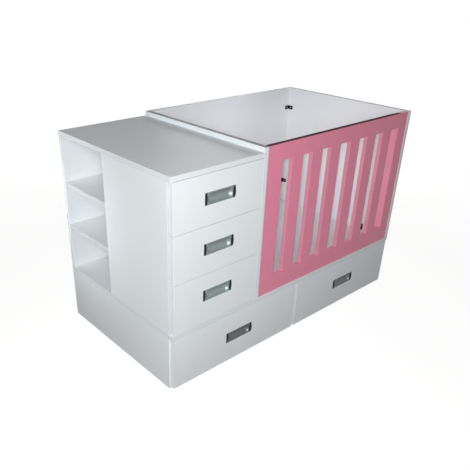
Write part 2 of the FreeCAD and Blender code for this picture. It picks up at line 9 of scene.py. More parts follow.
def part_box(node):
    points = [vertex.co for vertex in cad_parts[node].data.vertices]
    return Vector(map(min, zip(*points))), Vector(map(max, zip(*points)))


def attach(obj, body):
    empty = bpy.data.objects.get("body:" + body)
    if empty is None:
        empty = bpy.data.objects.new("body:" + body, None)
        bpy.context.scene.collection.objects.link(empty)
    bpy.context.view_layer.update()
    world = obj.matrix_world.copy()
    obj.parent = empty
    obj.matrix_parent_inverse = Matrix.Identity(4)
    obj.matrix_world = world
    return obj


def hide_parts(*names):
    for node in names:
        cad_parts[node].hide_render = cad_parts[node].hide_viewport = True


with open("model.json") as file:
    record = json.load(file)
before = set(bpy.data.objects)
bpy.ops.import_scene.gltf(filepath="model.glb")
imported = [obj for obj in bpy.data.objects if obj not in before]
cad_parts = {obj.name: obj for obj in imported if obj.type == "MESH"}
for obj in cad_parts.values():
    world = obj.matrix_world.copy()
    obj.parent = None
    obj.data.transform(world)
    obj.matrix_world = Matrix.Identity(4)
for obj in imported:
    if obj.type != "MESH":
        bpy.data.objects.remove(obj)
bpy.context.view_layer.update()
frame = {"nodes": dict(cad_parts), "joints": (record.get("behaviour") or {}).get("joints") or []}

MM = 0.001
QUARTER_TURN = math.pi / 2
X_AXIS, Y_AXIS, Z_AXIS = range(3)
CABINET = "cabinet"
DRAWERS = [joint["child"] for joint in frame["joints"]]

# Sizes of the details that the boards carry, the same as in the part's source.
PULL_FLANGE = 1.5 * MM
PULL_DEPTH = 11 * MM
DISH_MARGIN = 4 * MM
PULL_BOW = 3 * MM
RAIL_LEFT_STILE = 79 * MM
RAIL_RIGHT_STILE = 60 * MM
RAIL_FOOT = 73 * MM
RAIL_HEAD = 63 * MM  # without the banding on it
SLOT_WIDTH = 54 * MM
MIDDLE_SLOT_WIDTH = 66 * MM
SLOT_COUNT = 7
BRACE_LEG = 28 * MM
BRACE_WIDTH = 18 * MM
BRACE_THICKNESS = 4 * MM
UPPER_BRACE_DROP = 97 * MM
LOWER_BRACE_RISE = 112 * MM
FLOOR_BRACE_INSET = 140 * MM
SCREW_REACH = 18 * MM
RUNNER_SHEET = 1.2 * MM

# Softening of the edges, by piece.
RUNNER_BEND = 2 * RUNNER_SHEET
BOARD_EDGE = 0.5 * MM
THIN_EDGE = 0.4 * MM
BAND_EDGE = 0.45 * MM
BRACE_EDGE = 1.0 * MM
PULL_EDGE = 0.7 * MM
TRIM_EDGE = 0.9 * MM
SHARP_ANGLE = 40  # degrees between two faces, from which their edge is rounded

# Meshes and their shading.
SMOOTH_ANGLE = 35  # degrees between two faces, up to which they shade as one
PULL_SMOOTH_ANGLE = 40
SCREW_SIDES = 24
CUP_SEGMENTS = 96
CUP_RINGS = 49
TRIM_SIDES = 256
WELD = 0.01 * MM
SOLID_WELD = 0.001 * MM
FACING = 0.9  # least part of a normal along an axis, for a face that looks along it
FLAT = 0.99  # the same for the flat faces of a softened board

# Depth of the finishes' relief.
PEBBLE_DEPTH = 0.2 * MM
GRAIN_DEPTH = 0.1 * MM

# Pockets of the pulls, and places of the screws.
POCKET_INSET = 2.4 * MM  # from the edge of a pull's cup to the edge of its pocket
POCKET_AIR = 1 * MM  # behind the cup
RUNNER_SCREW_SHARES = (0.1, 0.5, 0.9)  # along a channel
PULL_SCREW_SHARE = 0.4  # of the cup's length, from its middle


# Node groups for effects that several finishes share.


def new_group(name, inputs, outputs):
    """An empty shader node group with named sockets. Returns it with its input and output nodes."""
    group = bpy.data.node_groups.new(name, "ShaderNodeTree")
    for socket_name, kind, value in inputs:
        socket = group.interface.new_socket(socket_name, in_out="INPUT", socket_type=kind)
        if value is not None:
            socket.default_value = value
    for socket_name, kind in outputs:
        group.interface.new_socket(socket_name, in_out="OUTPUT", socket_type=kind)
    return group, group.nodes.new("NodeGroupInput"), group.nodes.new("NodeGroupOutput")


def add_node(tree, kind, values=None, **settings):
    """A node with settings, and with values for its input sockets by name or number."""
    node = tree.nodes.new(kind)
    for setting, value in settings.items():
        setattr(node, setting, value)
    for socket, value in (values or {}).items():
        node.inputs[socket].default_value = value
    return node


def tone_drift_group():
    """A colour that drifts a little lighter and darker over the surface."""
    group, given, result = new_group(
        "tone_drift",
        [
            ("Vector", "NodeSocketVector", None),
            ("Color", "NodeSocketColor", (1, 1, 1, 1)),
            ("Scale", "NodeSocketFloat", 6.0),
            ("Amount", "NodeSocketFloat", 0.02),
        ],
        [("Color", "NodeSocketColor")],
    )
    noise = add_node(group, "ShaderNodeTexNoise", {"Detail": 4.0, "Roughness": 0.55})
    centred = add_node(group, "ShaderNodeMath", {1: 0.5}, operation="SUBTRACT")
    swing = add_node(group, "ShaderNodeMath", operation="MULTIPLY")
    factor = add_node(group, "ShaderNodeMath", {1: 2.0, 2: 1.0}, operation="MULTIPLY_ADD")
    scaled = add_node(group, "ShaderNodeVectorMath", operation="SCALE")
    group.links.new(given.outputs["Vector"], noise.inputs["Vector"])
    group.links.new(given.outputs["Scale"], noise.inputs["Scale"])
    group.links.new(noise.outputs["Fac"], centred.inputs[0])
    group.links.new(centred.outputs[0], swing.inputs[0])
    group.links.new(given.outputs["Amount"], swing.inputs[1])
    group.links.new(swing.outputs[0], factor.inputs[0])
    group.links.new(given.outputs["Color"], scaled.inputs[0])
    group.links.new(factor.outputs[0], scaled.inputs["Scale"])
    group.links.new(scaled.outputs[0], result.inputs["Color"])
    return group


def pebble_group():
    """The height of a fine pressed texture."""
    group, given, result = new_group(
        "pressed_pebble",
        [("Vector", "NodeSocketVector", None), ("Scale", "NodeSocketFloat", 400.0)],
        [("Height", "NodeSocketFloat")],
    )
    noise = add_node(group, "ShaderNodeTexNoise", {"Detail": 2.0, "Roughness": 0.5})
    group.links.new(given.outputs["Vector"], noise.inputs["Vector"])
    group.links.new(given.outputs["Scale"], noise.inputs["Scale"])
    group.links.new(noise.outputs["Fac"], result.inputs["Height"])
    return group


def handling_group():
    """A roughness that varies where hands and cloths have rubbed the surface."""
    group, given, result = new_group(
        "handling_marks",
        [
            ("Vector", "NodeSocketVector", None),
            ("Roughness", "NodeSocketFloat", 0.4),
            ("Spread", "NodeSocketFloat", 0.06),
            ("Scale", "NodeSocketFloat", 9.0),
        ],
        [("Roughness", "NodeSocketFloat")],
    )
    noise = add_node(group, "ShaderNodeTexNoise", {"Detail": 5.0, "Roughness": 0.6})
    centred = add_node(group, "ShaderNodeMath", {1: 0.5}, operation="SUBTRACT")
    swing = add_node(group, "ShaderNodeMath", operation="MULTIPLY")
    doubled = add_node(group, "ShaderNodeMath", {1: 2.0}, operation="MULTIPLY")
    total = add_node(group, "ShaderNodeMath", operation="ADD", use_clamp=True)
    group.links.new(given.outputs["Vector"], noise.inputs["Vector"])
    group.links.new(given.outputs["Scale"], noise.inputs["Scale"])
    group.links.new(noise.outputs["Fac"], centred.inputs[0])
    group.links.new(centred.outputs[0], swing.inputs[0])
    group.links.new(given.outputs["Spread"], swing.inputs[1])
    group.links.new(swing.outputs[0], doubled.inputs[0])
    group.links.new(doubled.outputs[0], total.inputs[0])
    group.links.new(given.outputs["Roughness"], total.inputs[1])
    group.links.new(total.outputs[0], result.inputs["Roughness"])
    return group


def bottom_darkening_group():
    """A colour that turns darker towards the bottom, in an uneven line."""
    group, given, result = new_group(
        "bottom_darkening",
        [
            ("Vector", "NodeSocketVector", None),
            ("Color", "NodeSocketColor", (1, 1, 1, 1)),
            ("Bottom Tone", "NodeSocketColor", (0.5, 0.47, 0.42, 1)),
            ("Reach", "NodeSocketFloat", 0.05),
            ("Amount", "NodeSocketFloat", 0.3),
        ],
        [("Color", "NodeSocketColor")],
    )
    noise = add_node(group, "ShaderNodeTexNoise", {"Scale": 14.0, "Detail": 4.0})
    wavy = add_node(group, "ShaderNodeMapRange", {"To Min": 0.9, "To Max": 1.1})
    height = add_node(group, "ShaderNodeSeparateXYZ")
    ragged = add_node(group, "ShaderNodeMath", operation="MULTIPLY")
    fade = add_node(
        group, "ShaderNodeMapRange", {"To Min": 1.0, "To Max": 0.0}, interpolation_type="SMOOTHSTEP"
    )
    share = add_node(group, "ShaderNodeMath", operation="MULTIPLY")
    mixed = add_node(group, "ShaderNodeMix", data_type="RGBA")
    group.links.new(given.outputs["Vector"], noise.inputs["Vector"])
    group.links.new(given.outputs["Vector"], height.inputs[0])
    group.links.new(noise.outputs["Fac"], wavy.inputs["Value"])
    group.links.new(wavy.outputs[0], ragged.inputs[0])
    group.links.new(given.outputs["Reach"], ragged.inputs[1])
    group.links.new(height.outputs["Z"], fade.inputs["Value"])
    group.links.new(ragged.outputs[0], fade.inputs["From Max"])
    group.links.new(fade.outputs[0], share.inputs[0])
    group.links.new(given.outputs["Amount"], share.inputs[1])
    group.links.new(share.outputs[0], mixed.inputs["Factor"])
    group.links.new(given.outputs["Color"], mixed.inputs["A"])
    group.links.new(given.outputs["Bottom Tone"], mixed.inputs["B"])
    group.links.new(mixed.outputs["Result"], result.inputs["Color"])
    return group


TONE_DRIFT = tone_drift_group()
PEBBLE = pebble_group()
HANDLING = handling_group()
BOTTOM_DARKENING = bottom_darkening_group()


# Finishes.


def new_finish(name, roughness, specular=0.5, metallic=0.0):
    """A material with a Principled shader. Returns it with its tree, shader and Object coordinates."""
    material = bpy.data.materials.new(name)
    material.use_nodes = True
    tree = material.node_tree
    shader = tree.nodes["Principled BSDF"]
    shader.inputs["Roughness"].default_value = roughness
    shader.inputs["Specular IOR Level"].default_value = specular
    shader.inputs["Metallic"].default_value = metallic
    place = add_node(tree, "ShaderNodeTexCoord").outputs["Object"]
    return material, tree, shader, place


def add_effect(tree, group, place, values):
    """Puts a shared effect in a material, with its own values."""
    node = add_node(tree, "ShaderNodeGroup", values, node_tree=group)
    tree.links.new(place, node.inputs["Vector"])
    return node


def add_bump(tree, shader, height, strength, distance):
    """Gives a material's surface a fine relief."""
    bump = add_node(tree, "ShaderNodeBump", {"Strength": strength, "Distance": distance})
    tree.links.new(height, bump.inputs["Height"])
    tree.links.new(bump.outputs["Normal"], shader.inputs["Normal"])


def add_two_tones(tree, factor, stops):
    """A colour that runs from one tone to another, each given with its place on the way."""
    ramp = add_node(tree, "ShaderNodeValToRGB")
    for element, (position, tone) in zip(ramp.color_ramp.elements, stops.items()):
        element.position = position
        element.color = (*tone, 1)
    tree.links.new(factor, ramp.inputs["Fac"])
    return ramp.outputs["Color"]


def board_finish(name, color, roughness, specular, drift, pebble_scale, bump, bottom_tone=None):
    """A melamine or painted board: faint tone drift, a darker tone towards the bottom where one is given, a
    fine pebble and rubbed patches.
    """
    material, tree, shader, place = new_finish(name, roughness, specular)
    tone = add_effect(tree, TONE_DRIFT, place, {"Color": (*color, 1), "Scale": 5.0, "Amount": drift})
    shade = tone.outputs["Color"]
    # Darker towards the bottom, where a bottom tone is given.
    if bottom_tone:
        low = add_effect(tree, BOTTOM_DARKENING, place, {"Bottom Tone": (*bottom_tone, 1), "Reach": 0.25, "Amount": 0.2})
        tree.links.new(shade, low.inputs["Color"])
        shade = low.outputs["Color"]
    tree.links.new(shade, shader.inputs["Base Color"])
    rubbed = add_effect(tree, HANDLING, place, {"Roughness": roughness, "Spread": 0.07})
    tree.links.new(rubbed.outputs["Roughness"], shader.inputs["Roughness"])
    pebble = add_effect(tree, PEBBLE, place, {"Scale": pebble_scale})
    add_bump(tree, shader, pebble.outputs["Height"], bump, PEBBLE_DEPTH)
    return material


def brushed_finish(name, color, roughness, stretch, contrast):
    """A metal brushed along one axis: long streaks in its tone, roughness and relief."""
    material, tree, shader, place = new_finish(name, roughness, metallic=1.0)
    stretched = add_node(tree, "ShaderNodeMapping", {"Scale": stretch})
    streaks = add_node(tree, "ShaderNodeTexNoise", {"Scale": 1.0, "Detail": 6.0, "Roughness": 0.65})
    tree.links.new(place, stretched.inputs["Vector"])
    tree.links.new(stretched.outputs[0], streaks.inputs["Vector"])
    dark = tuple(part * (1 - contrast) for part in color)
    light = tuple(min(1.0, part * (1 + contrast)) for part in color)
    shade = add_two_tones(tree, streaks.outputs["Fac"], {0.3: dark, 0.7: light})
    tree.links.new(shade, shader.inputs["Base Color"])
    smoother = roughness - 0.06
    rougher = roughness + 0.08
    rub = add_node(tree, "ShaderNodeMapRange", {"To Min": smoother, "To Max": rougher})
    tree.links.new(streaks.outputs["Fac"], rub.inputs["Value"])
    tree.links.new(rub.outputs[0], shader.inputs["Roughness"])
    add_bump(tree, shader, streaks.outputs["Fac"], strength=0.25, distance=GRAIN_DEPTH)
    return material


def plastic_finish(name, color, roughness, specular, grain_scale):
    """A moulded plastic with a fine spark grain."""
    material, tree, shader, place = new_finish(name, roughness, specular)
    tone = add_effect(tree, TONE_DRIFT, place, {"Color": (*color, 1), "Scale": 40.0, "Amount": 0.15})
    tree.links.new(tone.outputs["Color"], shader.inputs["Base Color"])
    rubbed = add_effect(tree, HANDLING, place, {"Roughness": roughness, "Spread": 0.1, "Scale": 60.0})
    tree.links.new(rubbed.outputs["Roughness"], shader.inputs["Roughness"])
    grain = add_effect(tree, PEBBLE, place, {"Scale": grain_scale})
    add_bump(tree, shader, grain.outputs["Height"], strength=0.3, distance=PEBBLE_DEPTH)
    return material


def zinc_finish(name, color, roughness):
    """Zinc-plated steel with its faint cloudy patches."""
    material, tree, shader, place = new_finish(name, roughness, metallic=1.0)
    tone = add_effect(tree, TONE_DRIFT, place, {"Color": (*color, 1), "Scale": 90.0, "Amount": 0.12})
    tree.links.new(tone.outputs["Color"], shader.inputs["Base Color"])
    rubbed = add_effect(tree, HANDLING, place, {"Roughness": roughness, "Spread": 0.12, "Scale": 120.0})
    tree.links.new(rubbed.outputs["Roughness"], shader.inputs["Roughness"])
    return material


def beech_finish(name, light, dark):
    """Bare beech with long fibres and short dark flecks."""
    material, tree, shader, place = new_finish(name, roughness=0.6, specular=0.3)
    stretched = add_node(tree, "ShaderNodeMapping", {"Scale": (900, 900, 120)})
    fibres = add_node(tree, "ShaderNodeTexNoise", {"Scale": 1.0, "Detail": 4.0})
    tree.links.new(place, stretched.inputs["Vector"])
    tree.links.new(stretched.outputs[0], fibres.inputs["Vector"])
    shade = add_two_tones(tree, fibres.outputs["Fac"], {0.35: dark, 0.6: light})
    tree.links.new(shade, shader.inputs["Base Color"])
    add_bump(tree, shader, fibres.outputs["Fac"], strength=0.2, distance=GRAIN_DEPTH)
    return material


WHITE = board_finish(
    "white_melamine", (0.81, 0.835, 0.85), roughness=0.34, specular=0.15, drift=0.018,
    pebble_scale=500.0, bump=0.06, bottom_tone=(0.52, 0.51, 0.49),
)
WHITE_EDGE = board_finish(
    "white_edge_band", (0.77, 0.79, 0.805), roughness=0.4, specular=0.15, drift=0.02,
    pebble_scale=700.0, bump=0.05,
)
# A darker copy of the white edge band: painted shade on the edges of a few boards.
SHADED_EDGE = board_finish(
    "shaded_white_edge_band", (0.63, 0.65, 0.665), roughness=0.45, specular=0.12, drift=0.02,
    pebble_scale=700.0, bump=0.05,
)
PINK = board_finish(
    "pink_melamine", (0.78, 0.245, 0.355), roughness=0.4, specular=0.3, drift=0.03,
    pebble_scale=500.0, bump=0.07,
)
PINK_EDGE = board_finish(
    "pink_edge_band", (0.82, 0.30, 0.40), roughness=0.42, specular=0.3, drift=0.03,
    pebble_scale=700.0, bump=0.06,
)
HARDBOARD = board_finish(
    "drawer_bottom_board", (0.70, 0.70, 0.67), roughness=0.5, specular=0.3, drift=0.05,
    pebble_scale=300.0, bump=0.2,
)
DARK_BAND = plastic_finish(
    "dark_edge_band", (0.062, 0.003, 0.017), roughness=0.55, specular=0.03, grain_scale=900.0
)
SLATE_STRIP = plastic_finish(
    "slate_strip", (0.085, 0.09, 0.10), roughness=0.45, specular=0.3, grain_scale=900.0
)
BLACK = plastic_finish(
    "black_plastic", (0.008, 0.010, 0.014), roughness=0.42, specular=0.15, grain_scale=1100.0
)
BRUSHED_ALONG_X = (6, 500, 500)
ALUMINIUM = brushed_finish(
    "brushed_aluminium", (0.25, 0.285, 0.285), roughness=0.5, stretch=BRUSHED_ALONG_X, contrast=0.25
)
# A darker copy of the brushed aluminium, painted shade, for the base drawers' pulls.
SHADED_ALUMINIUM = brushed_finish(
    "shaded_aluminium", (0.125, 0.13, 0.14), roughness=0.4, stretch=BRUSHED_ALONG_X, contrast=0.25
)
ZINC = zinc_finish("runner_steel", (0.55, 0.57, 0.60), roughness=0.35)
SCREW_STEEL = zinc_finish("screw_steel", (0.48, 0.49, 0.51), roughness=0.32)
BEECH = beech_finish("dowel_wood", light=(0.58, 0.38, 0.20), dark=(0.40, 0.24, 0.12))


# Modelling steps.


def focus(*pieces):
    """Makes these objects the only selected ones, the first of them active."""
    bpy.ops.object.select_all(action="DESELECT")
    for piece in pieces:
        piece.select_set(True)
    bpy.context.view_layer.objects.active = pieces[0]


def settle(piece):
    """Puts a piece's place, turn and size into its mesh."""
    focus(piece)
    bpy.ops.object.transform_apply(location=True, rotation=True, scale=True)


def block(name, low, high):
    """A cube stretched between two corners."""
    bpy.ops.object.select_all(action="DESELECT")
    middle = (Vector(low) + Vector(high)) / 2
    bpy.ops.mesh.primitive_cube_add(size=1, location=middle)
    piece = bpy.context.active_object
    piece.name = name
    piece.scale = Vector(high) - Vector(low)
    settle(piece)
    return piece


def edit(piece):
    focus(piece)
    bpy.ops.object.mode_set(mode="EDIT")


def end_edit():
    bpy.ops.object.mode_set(mode="OBJECT")


def choose(kind, wanted):
    """Selects the edited faces, edges or vertices that fit a test, and nothing else."""
    bpy.ops.mesh.select_mode(type=kind)
    bpy.ops.mesh.select_all(action="DESELECT")
    mesh = bmesh.from_edit_mesh(bpy.context.edit_object.data)
    items = {"FACE": mesh.faces, "EDGE": mesh.edges, "VERT": mesh.verts}[kind]
    for item in items:
        if wanted(item):
            item.select_set(True)
    bmesh.update_edit_mesh(bpy.context.edit_object.data)


def slice_at(axis, distance, **cut):
    """Cuts the edited piece by a plane square to an axis."""
    point = [0, 0, 0]
    normal = [0, 0, 0]
    point[axis] = distance
    normal[axis] = 1
    bpy.ops.mesh.select_all(action="SELECT")
    bpy.ops.mesh.bisect(plane_co=point, plane_no=normal, **cut)


def apply_modifier(piece, kind, **settings):
    focus(piece)
    bpy.ops.object.modifier_add(type=kind)
    modifier = piece.modifiers[-1]
    for setting, value in settings.items():
        setattr(modifier, setting, value)
    bpy.ops.object.modifier_apply(modifier=modifier.name)


def soften(piece, width, segments=2):
    """Rounds the piece's sharp edges."""
    sharp = math.radians(SHARP_ANGLE)
    apply_modifier(
        piece, "BEVEL", width=width, segments=segments, limit_method="ANGLE", angle_limit=sharp
    )


def smooth(piece, angle=SMOOTH_ANGLE):
    focus(piece)
    bpy.ops.object.shade_smooth_by_angle(angle=math.radians(angle))


def copied(source, name, shift):
    """A copy of a piece, with its own mesh, moved by a distance."""
    focus(source)
    bpy.ops.object.duplicate()
    piece = bpy.context.active_object
    piece.name = name
    piece.location = shift
    settle(piece)
    return piece


def joined(name, pieces):
    focus(*pieces)
    bpy.ops.object.join()
    piece = bpy.context.active_object
    piece.name = name
    return piece


def paint(piece, face_finish, edge_finish=None, thin_axis=None):
    """Gives a piece its finish, and a board's edges theirs. A board's faces look along its thin axis."""
    piece.data.materials.clear()
    piece.data.materials.append(face_finish)
    if edge_finish:
        piece.data.materials.append(edge_finish)
        for polygon in piece.data.polygons:
            polygon.material_index = 0 if abs(polygon.normal[thin_axis]) > FLAT else 1


def mount(piece, body, slot, *nodes):
    """Puts a finished piece on its body, in place of the nodes that it stands for."""
    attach(piece, body)
    if nodes:
        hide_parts(*nodes)


def thin_axis_of(low, high):
    spans = list(high - low)
    return spans.index(min(spans))


# Carcass boards. Some have a darker copy of the edge band than the others: painted shade.

WHITE_BOARDS = [
    "base_left_side", "base_right_side", "base_divider", "base_back_panel", "base_top_board",
    "chest_left_side", "chest_right_side", "chest_partition", "chest_back_panel", "chest_top_board",
    "niche_shelf_lower", "niche_shelf_upper",
    "crib_left_end_panel", "crib_right_end_panel", "crib_back_panel",
]
SHADED_EDGE_BOARDS = ["chest_left_side", "niche_shelf_lower", "niche_shelf_upper"]


def white_board(node, body):
    """A white board with banded edges, in the place of a node."""
    low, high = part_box(node)
    edge_finish = SHADED_EDGE if node in SHADED_EDGE_BOARDS else WHITE_EDGE
    piece = block(f"{node}_board", low, high)
    soften(piece, BOARD_EDGE)
    paint(piece, WHITE, edge_finish, thin_axis_of(low, high))
    mount(piece, body, "white_melamine", node)


for board_node in WHITE_BOARDS:
    white_board(board_node, CABINET)


# Slotted front rail.


def slotted_rail():
    """The front rail: a board with a row of slots, the middle one wider."""
    low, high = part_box("front_rail")
    piece = block("slotted_rail", low, high)
    length = high.x - low.x
    widths = [SLOT_WIDTH] * SLOT_COUNT
    widths[SLOT_COUNT // 2] = MIDDLE_SLOT_WIDTH
    bar = (length - RAIL_LEFT_STILE - RAIL_RIGHT_STILE - sum(widths)) / (SLOT_COUNT - 1)
    slots = []
    left = low.x + RAIL_LEFT_STILE
    for width in widths:
        slots.append((left, left + width))
        left += width + bar
    bottom = low.z + RAIL_FOOT
    top = high.z - RAIL_HEAD

    def in_slot(face, slot_left, slot_right):
        middle = face.calc_center_median()
        inside = slot_left < middle.x < slot_right and bottom < middle.z < top
        return inside and abs(face.normal.y) > FACING

    edit(piece)
    for level in (bottom, top):
        slice_at(Z_AXIS, level)
    for slot in slots:
        for side in slot:
            slice_at(X_AXIS, side)
    for slot in slots:
        choose("FACE", lambda face: in_slot(face, *slot))
        bpy.ops.mesh.bridge_edge_loops()
    end_edit()
    soften(piece, BOARD_EDGE)
    paint(piece, PINK, PINK_EDGE, Y_AXIS)
    mount(piece, CABINET, "pink_melamine", "front_rail")


slotted_rail()


# Batten that doubles the rail's thickness at its right end.
batten = block("rail_right_batten_board", *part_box("rail_right_batten"))
soften(batten, BOARD_EDGE)
paint(batten, PINK, PINK_EDGE, Y_AXIS)
mount(batten, CABINET, "pink_melamine", "rail_right_batten")


# Dark banding on the top edges of the rail, up to its batten, and a dark slate strip on the top edge of the
# left end panel.
for band_node, band_finish in (("rail_edge_band", DARK_BAND), ("end_panel_edge_band", SLATE_STRIP)):
    band = block(f"{band_node}_strip", *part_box(band_node))
    soften(band, BAND_EDGE)
    paint(band, band_finish)
    mount(band, CABINET, "dark_edge_band", band_node)


# Screws. Their details are shares of the head or of the shank.

HEAD_ROUNDING = 0.65  # of the head's height
POINT_LENGTH = 0.2  # of the shank's length
POINT_WIDTH = 0.15  # of the shank's width
CROSS_ARM = 0.3  # of the head's width, from its middle
CROSS_WEB = 0.06  # of the head's width, to each side
CROSS_DEPTH = 0.55  # of the head's height


def pan_head_screw(name, head_diameter, head_height, shank_diameter, shank_length):
    """A cross-slotted pan-head screw at the origin: its head up, its shank down."""
    bpy.ops.object.select_all(action="DESELECT")
    bpy.ops.mesh.primitive_cylinder_add(
        vertices=SCREW_SIDES, radius=head_diameter / 2, depth=head_height, location=(0, 0, head_height / 2)
    )
    piece = bpy.context.active_object
    piece.name = name
    settle(piece)
    edit(piece)
    choose("FACE", lambda face: face.normal.z > FACING)
    bpy.ops.mesh.bevel(offset=head_height * HEAD_ROUNDING, segments=4, affect="EDGES")
    choose("FACE", lambda face: face.normal.z < -FACING)
    bpy.ops.mesh.inset(thickness=(head_diameter - shank_diameter) / 2)
    for share in (1 - POINT_LENGTH, POINT_LENGTH):
        bpy.ops.mesh.extrude_region_move(TRANSFORM_OT_translate={"value": (0, 0, -shank_length * share)})
    tip = Vector((0, 0, -shank_length))
    bpy.ops.transform.resize(value=(POINT_WIDTH, POINT_WIDTH, 1), center_override=tip)
    end_edit()
    arm = head_diameter * CROSS_ARM
    web = head_diameter * CROSS_WEB
    depth = head_height * CROSS_DEPTH
    low = (-arm, -web, head_height - depth)
    high = (arm, web, head_height + depth)
    slot = block(f"{name}_slot", low, high)
    crossing = block(f"{name}_crossing", (low[1], low[0], low[2]), (high[1], high[0], high[2]))
    for cutter in (slot, crossing):
        apply_modifier(piece, "BOOLEAN", operation="DIFFERENCE", object=cutter, solver="EXACT")
        bpy.data.objects.remove(cutter)
    paint(piece, SCREW_STEEL)
    smooth(piece)
    return piece


def driven(master, name, seat, outward):
    """A copy of a screw whose head stands on a seat and points outward."""
    screw = copied(master, name, (0, 0, 0))
    screw.rotation_mode = "QUATERNION"
    screw.rotation_quaternion = Vector(outward).to_track_quat("Z", "Y")
    screw.location = seat
    settle(screw)
    return screw


BRACE_SCREW = pan_head_screw(
    "brace_screw_pattern",
    head_diameter=7.5 * MM, head_height=1.8 * MM, shank_diameter=3.5 * MM, shank_length=14 * MM,
)
RUNNER_SCREW = pan_head_screw(
    "runner_screw_pattern",
    head_diameter=6.5 * MM, head_height=1.5 * MM, shank_diameter=3.5 * MM, shank_length=9 * MM,
)
PULL_SCREW = pan_head_screw(
    "pull_screw_pattern",
    head_diameter=8 * MM, head_height=2.2 * MM, shank_diameter=4 * MM, shank_length=4 * MM,
)


# Angle braces in the crib's corners and on its floor.


def brace_piece(name, corner, first, second):
    """An angle brace whose two legs run from a corner along two directions."""
    first = Vector(first)
    second = Vector(second)
    across = Vector(abs(part) for part in first.cross(second))
    half = across * (BRACE_WIDTH / 2)
    leg_end = corner + first * BRACE_LEG + second * BRACE_THICKNESS
    ends = (corner - half, leg_end + half)
    low = Vector(map(min, *ends))
    high = Vector(map(max, *ends))
    piece = block(name, low, high)
    along = [abs(part) for part in first].index(1)
    edit(piece)
    bend = corner + first * BRACE_THICKNESS
    slice_at(along, bend[along])

    def is_stub(face):
        from_corner = (face.calc_center_median() - corner).dot(first)
        return face.normal.dot(second) > FACING and from_corner < BRACE_THICKNESS

    choose("FACE", is_stub)
    bpy.ops.mesh.extrude_region_move(
        TRANSFORM_OT_translate={"value": second * (BRACE_LEG - BRACE_THICKNESS)}
    )
    end_edit()
    soften(piece, BRACE_EDGE, segments=3)
    paint(piece, BLACK)
    smooth(piece)
    return piece


def brace_seats(corner, first, second):
    """Where a brace's two screws sit, with the direction that each head looks."""
    first = Vector(first)
    second = Vector(second)
    yield corner + first * SCREW_REACH + second * BRACE_THICKNESS, second
    yield corner + second * SCREW_REACH + first * BRACE_THICKNESS, first


def crib_braces():
    """The braces in the crib's corners and on its floor, with their screws."""
    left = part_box("crib_left_end_panel")[1].x
    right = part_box("crib_right_end_panel")[0].x
    rail_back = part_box("front_rail")[1].y
    batten_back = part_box("rail_right_batten")[1].y
    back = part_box("crib_back_panel")[0].y
    base_low, base_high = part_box("base_top_board")
    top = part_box("crib_back_panel")[1].z
    floor = base_high.z
    corner_braces = []
    floor_braces = []
    screws = []
    for end, into_end, front in ((left, (1, 0, 0), rail_back), (right, (-1, 0, 0), batten_back)):
        for side, into_side, outer in ((front, (0, 1, 0), base_low.y), (back, (0, -1, 0), base_high.y)):
            for level in (top - UPPER_BRACE_DROP, floor + LOWER_BRACE_RISE):
                corner = Vector((end, side, level))
                corner_braces.append(brace_piece("corner_brace", corner, into_end, into_side))
                for seat, outward in brace_seats(corner, into_end, into_side):
                    screws.append(driven(BRACE_SCREW, "brace_screw", seat, outward))
            corner = Vector((end, outer + into_side[1] * FLOOR_BRACE_INSET, floor))
            floor_braces.append(brace_piece("floor_brace", corner, into_end, (0, 0, 1)))
            for seat, outward in brace_seats(corner, into_end, (0, 0, 1)):
                screws.append(driven(BRACE_SCREW, "brace_screw", seat, outward))
    mount(joined("corner_brace_set", corner_braces), CABINET, "black_plastic", "corner_braces")
    mount(joined("floor_brace_set", floor_braces), CABINET, "black_plastic", "floor_braces")
    mount(joined("brace_screw_set", screws), CABINET, "screw_steel", "brace_screws")


crib_braces()


# Drawer pulls: a dished metal cup between two bowed black ends.


def cup_piece(name, low, high):
    """A pressed cup: a flat flange round a dish with a rolled lip."""
    half = (high.z - low.z) / 2 - DISH_MARGIN
    radius = (half * half + PULL_DEPTH * PULL_DEPTH) / (2 * PULL_DEPTH)
    straight = high.x - low.x - 2 * DISH_MARGIN - 2 * half
    face = low.y
    middle = Vector(((low.x + high.x) / 2, face + PULL_DEPTH - radius, (low.z + high.z) / 2))
    bpy.ops.object.select_all(action="DESELECT")
    bpy.ops.mesh.primitive_uv_sphere_add(
        segments=CUP_SEGMENTS, ring_count=CUP_RINGS,
        radius=radius, location=middle, rotation=(0, QUARTER_TURN, 0),
    )
    piece = bpy.context.active_object
    piece.name = name
    settle(piece)
    edit(piece)
    for sign in (-1, 1):
        choose("VERT", lambda vert: sign * (vert.co.x - middle.x) > 0)
        bpy.ops.transform.translate(value=(sign * straight / 2, 0, 0))
    slice_at(Y_AXIS, face, clear_inner=True)
    bpy.ops.mesh.primitive_plane_add(
        size=1, location=(middle.x, face, middle.z), rotation=(QUARTER_TURN, 0, 0)
    )
    bpy.ops.transform.resize(
        value=(high.x - low.x, 1, high.z - low.z), center_override=(middle.x, face, middle.z)
    )
    bpy.ops.mesh.delete(type="ONLY_FACE")
    choose("EDGE", lambda edge: len(edge.link_faces) < 2)
    bpy.ops.mesh.fill(use_beauty=True)
    bpy.ops.mesh.select_all(action="SELECT")
    bpy.ops.mesh.remove_doubles(threshold=WELD)
    bpy.ops.mesh.normals_make_consistent(inside=False)
    mesh = bmesh.from_edit_mesh(piece.data)
    flange = max(mesh.faces, key=lambda item: abs(item.normal.y) - item.calc_center_median().y)
    if flange.normal.y > 0:
        bpy.ops.mesh.flip_normals()
    end_edit()
    apply_modifier(piece, "SOLIDIFY", thickness=PULL_FLANGE, offset=-1.0, use_even_offset=True)
    soften(piece, PULL_EDGE, segments=3)
    paint(piece, ALUMINIUM)
    smooth(piece, PULL_SMOOTH_ANGLE)
    return piece


